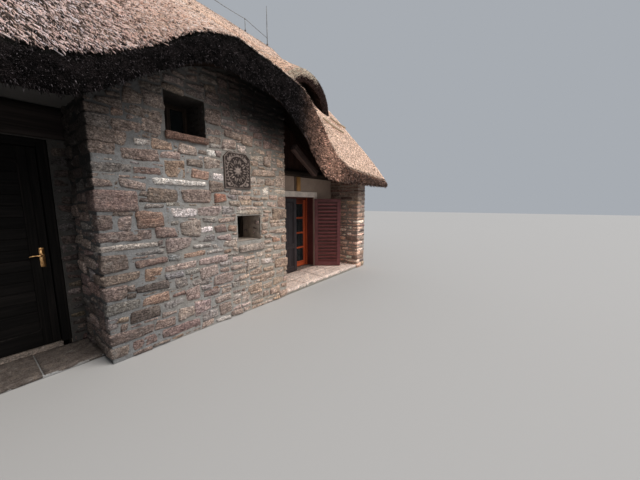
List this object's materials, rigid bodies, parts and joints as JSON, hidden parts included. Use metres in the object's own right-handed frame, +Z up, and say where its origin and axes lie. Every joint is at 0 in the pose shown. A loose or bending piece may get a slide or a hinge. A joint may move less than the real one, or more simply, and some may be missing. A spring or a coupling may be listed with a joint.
{
  "type": "thatched stone cottage",
  "caption": "Thatched stone holiday cottage with a swept eyebrow eave over a projecting bay, a recessed entrance, a porch with louvred outer leaves and glazed doors.",
  "frame": {"origin": "centre of the bounding box footprint on the ground, under the ridge and the middle of the bay", "axes": "+X along the front to the right as seen from outside, +Y from the front to the rear, +Z up"},
  "size_m": [10.17, 9, 8.58],
  "materials": {
    "thatch": "weathered reed",
    "rubble_stone": "rough rubble in grey mortar",
    "cream_render": "smooth lime render",
    "sill_stone": "sawn reddish-brown stone",
    "window_glass": "clear",
    "dark_timber": "dark stained",
    "black_brown_door": "very dark stain",
    "orange_brown_wood": "varnished",
    "slate_grey_paint": "satin paint",
    "red_brown_paint": "satin paint",
    "pale_paint": "satin paint",
    "pale_plaster": "matt",
    "floor_stone": "worn",
    "bronze_plaque": "dark cast relief",
    "brass_handle": "polished",
    "dull_metal": "dull"
  },
  "bodies": {
    "house": {"bay_front_wall": "rubble_stone", "bay_left_return": "rubble_stone", "bay_right_return": "rubble_stone", "bay_window_frames": "dark_timber", "bay_window_glass": "window_glass", "bay_window_sills": "sill_stone", "door_thresholds": "floor_stone", "dormer_glass": "window_glass", "dormer_hood": "thatch", "dormer_window_frames": "dark_timber", "entry_ceiling": "pale_plaster", "entry_door_frame": "black_brown_door", "entry_floor": "floor_stone", "entry_lintel_beam": "dark_timber", "entry_wall_left": "rubble_stone", "entry_wall_over_door": "rubble_stone", "entry_wall_right": "rubble_stone", "gable_wall_left": "rubble_stone", "gable_wall_right": "rubble_stone", "glazed_door_frame": "orange_brown_wood", "ground_floor": "floor_stone", "lightning_conductor": "dull_metal", "porch_door_casing": "pale_paint", "porch_floor": "floor_stone", "porch_timbers": "dark_timber", "porch_upper_wall": "dark_timber", "porch_wall_left": "cream_render", "porch_wall_over_door": "cream_render", "porch_wall_plate": "dark_timber", "porch_wall_right": "cream_render", "rear_dormer_hood": "thatch", "rear_wall": "rubble_stone", "side_window_frames": "dark_timber", "side_window_glass": "window_glass", "side_window_sills": "sill_stone", "thatch_back": "thatch", "thatch_eyebrow_end": "thatch", "thatch_eyebrow_left": "thatch", "thatch_eyebrow_right": "thatch", "thatch_front_left": "thatch", "thatch_front_right": "thatch", "thatch_poles": "dark_timber", "thatch_ridge_cap": "thatch", "upper_floor": "dark_timber", "wall_plaque": "bronze_plaque"},
    "entry_door": {"entry_door_leaf": "black_brown_door", "entry_door_handle": "brass_handle"},
    "shutter_left": {"porch_shutter_left": "slate_grey_paint"},
    "shutter_right": {"porch_shutter_right": "red_brown_paint"},
    "glazed_left": {"glazed_leaf_left": "orange_brown_wood", "glazed_panes_left": "window_glass"},
    "glazed_right": {"glazed_leaf_right": "orange_brown_wood", "glazed_panes_right": "window_glass"}
  },
  "joints": [
    {"name": "entry_door_hinge", "type": "hinge", "parent": "house", "child": "entry_door", "pos_m": [-2.585, -3.025, 1.25], "axis": [0, 0, 1], "range_deg": [0, 100]},
    {"name": "shutter_left_hinge", "type": "hinge", "parent": "house", "child": "shutter_left", "pos_m": [2.03, -3.125, 1], "axis": [0, 0, 1], "range_deg": [-145, 0]},
    {"name": "shutter_right_hinge", "type": "hinge", "parent": "house", "child": "shutter_right", "pos_m": [3.46, -3.125, 1], "axis": [0, 0, 1], "range_deg": [-127, 43]},
    {"name": "glazed_left_hinge", "type": "hinge", "parent": "house", "child": "glazed_left", "pos_m": [2.085, -2.81, 1], "axis": [0, 0, 1], "range_deg": [0, 100]},
    {"name": "glazed_right_hinge", "type": "hinge", "parent": "house", "child": "glazed_right", "pos_m": [3.405, -2.81, 1], "axis": [0, 0, 1], "range_deg": [-100, 0]}
  ]
}
